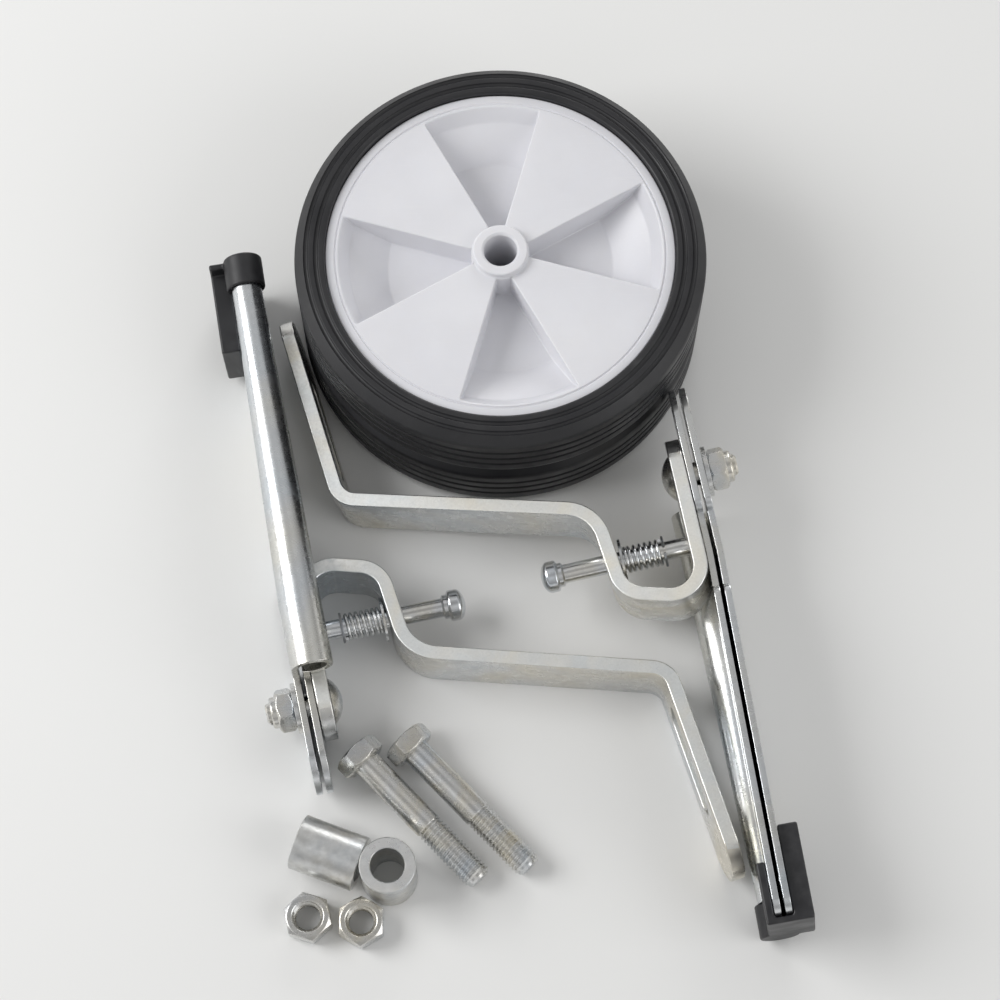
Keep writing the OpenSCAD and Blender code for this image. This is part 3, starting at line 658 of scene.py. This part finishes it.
def discPocket(corners):
    # one sector of a turned hollow, trimmed flat along the ribs on its two sides
    pocket = drawProfile("pocket", corners, closed=True)
    openForEditing(pocket, "EDGE")
    bpy.ops.mesh.edge_face_add()
    closeEditing()
    seatPiece(pocket, turned("X", discStep / 2))  # the spin turns the other way round
    openForEditing(pocket)
    bpy.ops.mesh.spin(steps=disc["steps"] // disc["sectors"], angle=math.radians(discStep), center=(0, 0, 0),
                      axis=(1, 0, 0), use_auto_merge=False)
    closeEditing()
    makeSolid(pocket)
    for side in (1, -1):
        # the rib's flat side stands half a wall inside the sector's edge
        edgeAngle = math.radians(side * discStep / 2)
        outward = Vector((0, -math.sin(edgeAngle), math.cos(edgeAngle))) * side
        rib = -outward * disc["wall"] / 2 * mm
        openForEditing(pocket)
        bpy.ops.mesh.bisect(plane_co=rib, plane_no=outward, use_fill=True, clear_outer=True)
        closeEditing()
    makeSolid(pocket)
    return pocket


def makeDisc(name):
    face = disc["faceHalf"]
    wall = disc["wall"]
    over = disc["over"]
    inner = disc["hubRadius"] + disc["ledge"]
    deep = face - disc["recess"]
    shallow = face - disc["recess"] * disc["rampDepthShare"]
    rampIn, rampOut = [disc["radius"] * share for share in disc["rampShares"]]
    spill = (discRimIn - rampOut) / (face - shallow)
    beyond = [(-face - over, discRimIn), (-face - over, inner)]
    front = [(deep, inner), (deep, rampIn), (shallow, rampOut), (face + over, discRimIn + spill), (face + over, inner)]
    backDeep = [(deep - wall, inner), (deep - wall, rampIn + wall / 2), (shallow - wall, rampOut + wall / 2),
                (face - wall, discRimIn)] + beyond
    backPlain = [(face - wall, inner), (face - wall, discRimIn)] + beyond
    piece = discBlank(name)
    seatPiece(piece, turned("X", disc["facetTurn"]))  # its facets clear of the pockets' corners
    for corners, first in ((front, 0), (backDeep, 0), (backPlain, 1)):
        pocket = discPocket(corners)
        pockets = []
        for index in range(first, disc["sectors"], 2):
            cutter = copyPiece(pocket, f"cutter_{index}")
            seatPiece(cutter, turned("X", discStep * index))
            pockets.append(cutter)
        cutPiece(piece, "DIFFERENCE", joinPieces("cutters", *pockets))
        bpy.data.objects.remove(pocket)
    openForEditing(piece)
    bpy.ops.mesh.remove_doubles(threshold=mergeGap)
    bpy.ops.mesh.dissolve_limited(angle_limit=math.radians(flatWithin))
    bpy.ops.mesh.normals_make_consistent(inside=False)
    closeEditing()
    softenEdges(piece, disc["soft"], 3, disc["sharpFrom"])
    smoothFaces(piece, disc["smoothTo"])
    return piece


firstDisc = makeDisc("disc_upper")
secondDisc = copyPiece(firstDisc, "disc_lower")
for piece, level in ((firstDisc, "upper"), (secondDisc, "lower")):
    seatPiece(piece, Matrix.Translation(tyreMiddles[level]) @ turned("Z", disc["turn"]) @ upright)
    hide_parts(f"wheel_{level}_disc")
    finishPiece(piece, "set", "disc_plastic", discPlastic)
print("discs moulded")

# brackets

bracket = {"edge": 0.5, "rounds": 3, "cutFace": 0.93}
for side in ("left", "right"):
    piece = softenedCopy(f"bracket_{side}", f"bracket_strip_{side}", bracket["edge"], bracket["rounds"])
    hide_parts(f"bracket_{side}")
    finishPiece(piece, "set", "bracket_zinc", zinc["bracketZinc"], zinc["bracketCut"])
    paintCutFaces(piece, sides[side].to_3x3() @ Vector((0, 0, 1)), bracket["cutFace"])
print("brackets softened")

# arms and caps

arm = {"edge": 0.28, "rounds": 2, "capEdge": 0.7, "capRounds": 3}
for side in ("left", "right"):
    piece = softenedCopy(f"arm_{side}", f"arm_sheet_{side}", arm["edge"], arm["rounds"])
    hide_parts(f"arm_{side}")
    finishPiece(piece, f"arm_{side}", "arm_zinc", zinc["armZinc"])
    piece = softenedCopy(f"arm_cap_{side}", f"end_cap_{side}", arm["capEdge"], arm["capRounds"])
    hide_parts(f"arm_cap_{side}")
    finishPiece(piece, f"arm_{side}", "cap_plastic", capPlastic)
print("arms and caps softened")

# threads, hexagons and rings

thread = {"sunk": 0.12, "shares": (0.08, 0.44, 0.56, 0.92), "stepsPerTurn": 28, "crestEase": 0.02}


def threadRidge(name, coreRadius, crestRadius, pitch, start, length, inside=False):
    # a closed ridge that winds round the x axis, sunk a little into its core
    foot = coreRadius + (thread["sunk"] if inside else -thread["sunk"])
    rise, crest, crestEnd, fall = [start + share * pitch for share in thread["shares"]]
    section = [(start, foot), (rise, coreRadius), (crest, crestRadius), (crestEnd, crestRadius), (fall, coreRadius),
               (start + pitch, foot)]
    piece = drawProfile(name, section, closed=True)
    turns = length / pitch - 1
    steps = int(thread["stepsPerTurn"] * turns)
    applyModifier(piece, "SCREW", axis="X", angle=2 * math.pi * turns, screw_offset=pitch * turns * mm, steps=steps,
                  render_steps=steps, use_merge_vertices=False, use_smooth_shade=True)
    openForEditing(piece, "EDGE", "DESELECT")
    bpy.ops.mesh.select_non_manifold()
    bpy.ops.mesh.edge_face_add()
    closeEditing()
    makeSolid(piece)
    return piece


hexagon = {"flatShare": 0.95, "over": 0.05, "drillOver": 1, "steps": 72, "sharpFrom": 28.0, "rounds": 2}


def hexBlock(acrossFlats, height, chamfer, edge, bore=0.0, countersink=0.0):
    # a hexagon along x with its corners turned off, flats up and down
    corner = acrossFlats / 2 / math.cos(math.radians(30))
    bpy.ops.object.select_all(action="DESELECT")
    bpy.ops.mesh.primitive_cylinder_add(vertices=6, radius=corner * mm, depth=height * mm,
                                        location=(height / 2 * mm, 0, 0), rotation=(0, math.radians(90), 0))
    piece = bpy.context.active_object
    piece.name = "block"
    bpy.ops.object.transform_apply(location=True, rotation=True, scale=True)
    flatRadius = acrossFlats / 2 * hexagon["flatShare"]
    wide = corner + hexagon["over"]
    outline = [(0, 0), (0, flatRadius), (chamfer, wide), (height - chamfer, wide), (height, flatRadius), (height, 0)]
    cutPiece(piece, "INTERSECT", turnPiece("barrel", outline, hexagon["steps"]))
    if bore:
        mouth = bore + countersink
        over = hexagon["drillOver"]
        outline = [(-over, 0), (-over, mouth + over), (0, mouth), (countersink, bore), (height - countersink, bore),
                   (height, mouth), (height + over, mouth + over), (height + over, 0)]
        cutPiece(piece, "DIFFERENCE", turnPiece("drill", outline, hexagon["steps"]))
    makeSolid(piece)
    softenEdges(piece, edge, hexagon["rounds"], hexagon["sharpFrom"])
    return piece


def ringPiece(name, outer, inner, start, end, edge, steps=72):
    points = [(start, inner + edge), (start + edge, inner), (end - edge, inner), (end, inner + edge),
              (end, outer - edge), (end - edge, outer), (start + edge, outer), (start, outer - edge)]
    piece = turnPiece(name, points, steps, closed=True)
    smoothFaces(piece, 30.0)
    return piece


hardwareSmooth = 34.0  # degrees up to which turned steel shades smoothly

# pivots

pivot = {"radius": 4.0, "core": 3.4, "headRadius": 7.75, "headHeight": 3.6, "headStart": -2.43, "domeSteps": 14,
         "rimHeight": 0.12, "rimIn": 0.08, "rimFoot": 0.35, "washer": (8.58, 10.13, 8.5), "washerGap": 0.12,
         "washerEdge": 0.15, "nutStart": 10.18, "nutAcross": 13.0, "nutHeight": 5.8, "nutChamfer": 1.1,
         "nutEdge": 0.12, "nutGap": 0.02, "nutMouth": 0.5, "collarRadius": 5.3, "collarHeight": 2.0,
         "collarRound": 0.8, "collarSunk": 0.4, "collarGap": 0.06, "collarMouth": 0.5, "collarLip": 0.3,
         "tip": 19.58, "tipDrop": 0.5, "tipEase": 0.6, "pitch": 1.25, "threadFrom": 12.0, "threadEase": 0.6,
         "threadLead": 0.4}


def makePivotBolt(name):
    foot = pivot["headStart"]
    height = pivot["headHeight"]
    wide = pivot["headRadius"]
    tip = pivot["tip"]
    core = pivot["core"]
    radius = pivot["radius"]
    threadFrom = pivot["threadFrom"]
    domeRadius = (wide ** 2 + height ** 2) / (2 * height)
    first = math.degrees(math.asin((domeRadius - height) / domeRadius))
    dome = []
    for step in range(1, pivot["domeSteps"]):
        angle = math.radians(first + (90 - first) * step / pivot["domeSteps"])
        dome.append((foot - height + domeRadius - domeRadius * math.sin(angle), domeRadius * math.cos(angle)))
    dome.append((foot - height, 0))
    outline = [(tip, 0), (tip, core - pivot["tipDrop"]), (tip - pivot["tipEase"], core), (threadFrom, core),
               (threadFrom - pivot["threadEase"], radius), (foot, radius), (foot, wide - pivot["rimFoot"]),
               (foot - pivot["rimHeight"], wide - pivot["rimIn"])] + dome
    shaft = turnPiece("shaft", outline)
    ridge = threadRidge("ridge", core, radius - thread["crestEase"], pivot["pitch"],
                        threadFrom - pivot["threadLead"], tip - threadFrom)
    piece = joinPieces(name, shaft, ridge)
    smoothFaces(piece, hardwareSmooth)
    return piece


def makePivotNut(name):
    block = hexBlock(pivot["nutAcross"], pivot["nutHeight"], pivot["nutChamfer"], pivot["nutEdge"],
                     pivot["radius"] + pivot["nutGap"], pivot["nutMouth"])
    seatPiece(block, moved(pivot["nutStart"], 0, 0))
    start = pivot["nutStart"] + pivot["nutHeight"] - pivot["collarSunk"]
    end = pivot["nutStart"] + pivot["nutHeight"] + pivot["collarHeight"]
    outer = pivot["collarRadius"]
    inner = pivot["radius"] + pivot["collarGap"]
    turn = pivot["collarRound"]
    outline = [(start, inner), (start, outer)] + arcPoints((end - turn, outer - turn), turn, 90, 0, 5)
    outline += [(end, inner + pivot["collarMouth"]), (end - pivot["collarLip"], inner)]
    piece = joinPieces(name, block, turnPiece("collar", outline, closed=True))
    smoothFaces(piece, hardwareSmooth)
    return piece


for side in ("left", "right"):
    bolt = makePivotBolt(f"dome_bolt_{side}")
    nut = makePivotNut(f"lock_nut_{side}")
    start, end, outer = pivot["washer"]
    washer = ringPiece(f"flat_washer_{side}", outer, pivot["radius"] + pivot["washerGap"], start, end,
                       pivot["washerEdge"])
    for piece, node in ((bolt, "pivot_bolt"), (nut, "pivot_nut"), (washer, "pivot_washer")):
        seatPiece(piece, sides[side])
        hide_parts(f"{node}_{side}")
        finishPiece(piece, "set", "bolt_zinc", zinc["boltZinc"])
print("pivot bolts, nuts and washers made")

# pull pins

pin = {"y": -24.0, "radius": 3.2, "tip": 2.28, "tipRound": 1.0, "grooveRadius": 2.6, "groove": (-10.13, -11.03),
       "knobFrom": -45.06, "knobEnd": -52.66, "neckRadius": 4.1, "neckLength": 1.8, "knobRadius": 5.3,
       "knobRound": 0.9, "capShare": 0.55, "footEase": 0.35, "neckEase": 0.3, "knobEase": 0.25, "steps": 72,
       "washer": (-25.35, -24.35, 7.5), "washerGap": 0.3, "washerEdge": 0.12, "clipEdge": 0.12}


def makePullPin(name):
    radius = pin["radius"]
    neck = pin["neckRadius"]
    knob = pin["knobRadius"]
    knobFrom = pin["knobFrom"]
    neckEnd = knobFrom - pin["neckLength"]
    end = pin["knobEnd"]
    tipRound = pin["tipRound"]
    knobRound = pin["knobRound"]
    foot = pin["footEase"]
    cap = knob * pin["capShare"]
    outline = [(pin["tip"], 0)] + arcPoints((pin["tip"] - tipRound, radius - tipRound), tipRound, 0, 90, 5)
    for place in pin["groove"]:
        outline += [(place, radius), (place, pin["grooveRadius"])]
    outline[-2:] = reversed(outline[-2:])
    outline += [(knobFrom + foot, radius), (knobFrom, radius + foot), (knobFrom, neck - pin["neckEase"]),
                (knobFrom - pin["neckEase"], neck), (neckEnd + pin["knobEase"], neck),
                (neckEnd, neck + pin["knobEase"]), (neckEnd, knob - knobRound)]
    outline += arcPoints((neckEnd - knobRound, knob - knobRound), knobRound, 0, 90, 5)[1:]
    for degrees in range(96, 180, 6):
        angle = math.radians(degrees)
        outline.append((end + cap + cap * math.cos(angle), knob * math.sin(angle)))
    outline.append((end, 0))
    piece = turnPiece(name, outline, pin["steps"])
    smoothFaces(piece, hardwareSmooth)
    return piece


pinPlaces = {side: sides[side] @ moved(0, pin["y"], 0) for side in ("left", "right")}
for side, there in pinPlaces.items():
    shank = makePullPin(f"pull_knob_{side}")
    seatPiece(shank, there)
    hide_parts(f"pull_pin_{side}")
    finishPiece(shank, f"pin_{side}", "pin_zinc", zinc["pinZinc"])
    start, end, outer = pin["washer"]
    washer = ringPiece(f"wall_washer_{side}", outer, pin["radius"] + pin["washerGap"], start, end, pin["washerEdge"])
    seatPiece(washer, there)
    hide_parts(f"pin_washer_{side}")
    finishPiece(washer, "set", "bolt_zinc", zinc["boltZinc"])
    clip = softenedCopy(f"pin_clip_{side}", f"retaining_clip_{side}", pin["clipEdge"], 2)
    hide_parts(f"pin_clip_{side}")
    finishPiece(clip, f"pin_{side}", "clip_steel", zinc["clipSteel"])
print("pull pins made")

# springs

spring = {"from": -24.25, "to": -11.08, "wire": 0.6, "coil": 4.05, "turns": 7, "deadPitch": 1.236,
          "stepsPerTurn": 36, "wireSides": 14, "mergeGap": 0.00001, "smoothTo": 60.0}


def makeSpring(name):
    # closed end turns and open turns between, each wound from the same wire section
    wire = spring["wire"]
    first = spring["from"] + wire
    dead = spring["deadPitch"]
    openTurns = spring["turns"] - 2
    body = spring["to"] - spring["from"] - 2 * wire - 2 * dead
    coils = []
    for start, rise, turns in ((first, dead, 1), (first + dead, body, openTurns), (first + dead + body, dead, 1)):
        bpy.ops.object.select_all(action="DESELECT")
        bpy.ops.mesh.primitive_circle_add(vertices=spring["wireSides"], radius=wire * mm,
                                          location=(start * mm, spring["coil"] * mm, 0))
        coil = bpy.context.active_object
        bpy.ops.object.transform_apply(location=True, rotation=True, scale=True)
        steps = spring["stepsPerTurn"] * turns
        applyModifier(coil, "SCREW", axis="X", angle=2 * math.pi * turns, screw_offset=rise * mm, steps=steps,
                      render_steps=steps, use_merge_vertices=False, use_smooth_shade=True)
        coils.append(coil)
    piece = joinPieces(name, *coils)
    openForEditing(piece)
    bpy.ops.mesh.remove_doubles(threshold=spring["mergeGap"])
    bpy.ops.mesh.select_mode(type="EDGE")
    bpy.ops.mesh.select_all(action="DESELECT")
    bpy.ops.mesh.select_non_manifold()
    bpy.ops.mesh.edge_face_add()
    bpy.ops.mesh.select_all(action="SELECT")
    bpy.ops.mesh.normals_make_consistent(inside=False)
    closeEditing()
    smoothFaces(piece, spring["smoothTo"], weighted=False)
    return piece


for side, there in pinPlaces.items():
    piece = makeSpring(f"coil_spring_{side}")
    seatPiece(piece, there)
    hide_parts(f"pin_spring_{side}")
    piece.data.materials.clear()
    piece.data.materials.append(zinc["springWire"])
    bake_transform(piece)
print("springs wound")

# loose hardware

looseBolt = {"radius": 4.75, "core": 4.12, "length": 54.0, "across": 14.3, "head": 6.2, "pitch": 1.5,
             "threadLength": 24.0, "threadEase": 0.7, "threadLead": 0.6, "threadOver": 0.2, "tipDrop": 0.7,
             "tipEase": 0.9, "faceShare": 0.94, "faceFrom": 0.1, "faceTo": -0.3, "chamfer": 1.0, "edge": 0.16,
             "turn": -48.0, "places": {1: (-47.97, -82.53), 2: (-31.57, -79.33)}, "lift": 7.15, "lean": 2.547}


def makeAxleBolt(name):
    tip = looseBolt["length"]
    core = looseBolt["core"]
    radius = looseBolt["radius"]
    threadStart = tip - looseBolt["threadLength"]
    faceRadius = looseBolt["across"] / 2 * looseBolt["faceShare"]
    outline = [(tip, 0), (tip, core - looseBolt["tipDrop"]), (tip - looseBolt["tipEase"], core), (threadStart, core),
               (threadStart - looseBolt["threadEase"], radius), (looseBolt["faceFrom"], radius),
               (looseBolt["faceFrom"], faceRadius), (looseBolt["faceTo"], faceRadius), (looseBolt["faceTo"], 0)]
    shaft = turnPiece("shaft", outline)
    ridge = threadRidge("ridge", core, radius - thread["crestEase"], looseBolt["pitch"],
                        threadStart - looseBolt["threadLead"], looseBolt["threadLength"] + looseBolt["threadOver"])
    block = hexBlock(looseBolt["across"], looseBolt["head"], looseBolt["chamfer"], looseBolt["edge"])
    seatPiece(block, moved(-looseBolt["head"], 0, 0))
    piece = joinPieces(name, shaft, ridge, block)
    smoothFaces(piece, hardwareSmooth)
    return piece


for number, (x, y) in looseBolt["places"].items():
    # it rests on a flat of its head and on its tip
    piece = makeAxleBolt(f"loose_bolt_{number}")
    lying = turned("Z", looseBolt["turn"]) @ turned("Y", looseBolt["lean"])
    seatPiece(piece, moved(x, y, looseBolt["lift"]) @ lying)
    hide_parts(f"axle_bolt_{number}")
    finishPiece(piece, "set", "bolt_zinc", zinc["boltZinc"])
print("axle bolts made")

looseNut = {"across": 14.3, "height": 8.2, "bore": 4.72, "core": 4.15, "pitch": 1.5, "chamfer": 1.0, "edge": 0.16,
            "countersink": 0.6, "threadFrom": 0.35, "threadShort": 0.7, "turns": {1: 27.0, 2: 40.0}}
for number, turn in looseNut["turns"].items():
    low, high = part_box(f"axle_nut_{number}")
    block = hexBlock(looseNut["across"], looseNut["height"], looseNut["chamfer"], looseNut["edge"], looseNut["bore"],
                     looseNut["countersink"])
    ridge = threadRidge("ridge", looseNut["bore"], looseNut["core"], looseNut["pitch"], looseNut["threadFrom"],
                        looseNut["height"] - looseNut["threadShort"], inside=True)
    piece = joinPieces(f"loose_nut_{number}", block, ridge)
    smoothFaces(piece, hardwareSmooth)
    middle = (low + high) / 2
    foot = Matrix.Translation((middle.x, middle.y, low.z))
    seatPiece(piece, foot @ turned("Z", turn) @ upright @ turned("X", 30))
    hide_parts(f"axle_nut_{number}")
    finishPiece(piece, "set", "bolt_zinc", zinc["boltZinc"])
print("axle nuts made")

sleeve = {"outer": 9.2, "inner": 5.6, "length": 22.0, "edge": 0.3, "turn": -23.0, "steps": 96, "cutFace": 0.9}
lyingTurn = turned("Z", sleeve["turn"])
for number, stance in ((1, lyingTurn), (2, upright)):
    # made from its own middle outwards, so that the node's middle places it
    half = sleeve["length"] / 2
    piece = ringPiece(f"spacer_tube_{number}", sleeve["outer"], sleeve["inner"], -half, half, sleeve["edge"],
                      sleeve["steps"])
    seatPiece(piece, Matrix.Translation(middleOf(f"spacer_sleeve_{number}")) @ stance)
    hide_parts(f"spacer_sleeve_{number}")
    finishPiece(piece, "set", "sleeve_steel", zinc["sleeveSteel"], zinc["sleeveCut"])
    paintCutFaces(piece, stance.to_3x3() @ Vector((1, 0, 0)), sleeve["cutFace"])
print("sleeves made")

# floor, light and camera

studio = {"floor": (0.80, 0.80, 0.79), "floorSize": 14.0, "floorDrop": 0.00005, "floorRoughness": 0.75,
          "floorGloss": 0.15, "fadeReach": (0.35, 2.2), "fadeLevel": 0.42, "skyLight": 0.42,
          "backdrop": ((0.0, 0.92), (0.22, 0.70), (0.42, 0.28), (0.70, 0.50), (0.92, 0.62), (1.0, 0.30)),
          "cameraPlace": (-0.01306, -0.29135, 0.87957), "lens": 97.0, "nearest": 0.01}
# each lamp's place, size and power
lamps = {"keyLight": ((-1.05, 0.15, 0.85), 0.8, 12.0), "fillLight": ((1.05, -0.5, 0.75), 0.9, 4.8),
         "rimLight": ((0.3, 1.3, 0.5), 0.6, 4.8)}


def aimFrom(place, target):
    return (Vector(target) - Vector(place)).to_track_quat("-Z", "Y").to_euler()


def makeFloor():
    bpy.ops.object.select_all(action="DESELECT")
    bpy.ops.mesh.primitive_plane_add(size=studio["floorSize"], location=(0, 0, -studio["floorDrop"]))
    floor = bpy.context.active_object
    floor.name = "floor"
    openForEditing(floor)
    bpy.ops.mesh.subdivide(number_cuts=3)
    closeEditing()
    colour = (*studio["floor"], 1)
    material, tree, shader, place = newMaterial("paleFloor", Roughness=studio["floorRoughness"], Base_Color=colour,
                                                Specular_IOR_Level=studio["floorGloss"], Emission_Color=colour)
    # beyond the lamps' reach the floor keeps its brightness, so that low views show no dark band
    away = addNode(tree, "ShaderNodeVectorMath", {0: place}, operation="LENGTH")
    glow = mapValue(tree, away.outputs["Value"], *studio["fadeReach"], 0.0, studio["fadeLevel"])
    tree.links.new(glow, shader.inputs["Emission Strength"])
    floor.data.materials.append(material)


def makeBackdrop():
    # a plain soft light on the part, and a graded grey for the camera, reflections and clear parts
    world = bpy.context.scene.world or bpy.data.worlds.new("studio")
    bpy.context.scene.world = world
    world.use_nodes = True
    tree = world.node_tree
    tree.nodes.clear()
    light = addNode(tree, "ShaderNodeBackground", {"Color": (1, 1, 1, 1), "Strength": studio["skyLight"]})
    toward = tree.nodes.new("ShaderNodeTexCoord")
    parts = addNode(tree, "ShaderNodeSeparateXYZ", {"Vector": toward.outputs["Generated"]})
    level = addNode(tree, "ShaderNodeValToRGB", {"Fac": parts.outputs["Z"]})
    stops = level.color_ramp.elements
    while len(stops) < len(studio["backdrop"]):
        stops.new(0.5)
    for stop, (height, grey) in zip(stops, studio["backdrop"]):
        stop.position = height
        stop.color = (grey, grey, grey, 1)
    seen = addNode(tree, "ShaderNodeBackground", {"Color": level.outputs["Color"], "Strength": 1.0})
    path = tree.nodes.new("ShaderNodeLightPath").outputs
    direct = calculate(tree, "MAXIMUM", path["Is Camera Ray"], path["Is Glossy Ray"])
    anySight = calculate(tree, "MAXIMUM", direct, path["Is Transmission Ray"])
    mix = addNode(tree, "ShaderNodeMixShader", {0: anySight, 1: light.outputs[0], 2: seen.outputs[0]})
    leave = tree.nodes.new("ShaderNodeOutputWorld")
    tree.links.new(mix.outputs[0], leave.inputs["Surface"])


def makeLamps():
    for name, (place, size, power) in lamps.items():
        bpy.ops.object.light_add(type="AREA", location=place)
        lamp = bpy.context.active_object
        lamp.name = name
        lamp.data.size = size
        lamp.data.energy = power
        lamp.rotation_euler = aimFrom(place, (0, 0, 0))


def makeCamera():
    bpy.ops.object.camera_add(location=studio["cameraPlace"])
    camera = bpy.context.active_object
    camera.name = "photoCamera"
    low, high = cadBox
    camera.rotation_euler = aimFrom(studio["cameraPlace"], (low + high) / 2)
    camera.data.lens = studio["lens"]
    camera.data.clip_start = studio["nearest"]
    bpy.context.scene.camera = camera
    bpy.context.scene.view_settings.view_transform = "Standard"


makeFloor()
makeBackdrop()
makeLamps()
makeCamera()
print("floor, light and camera set")
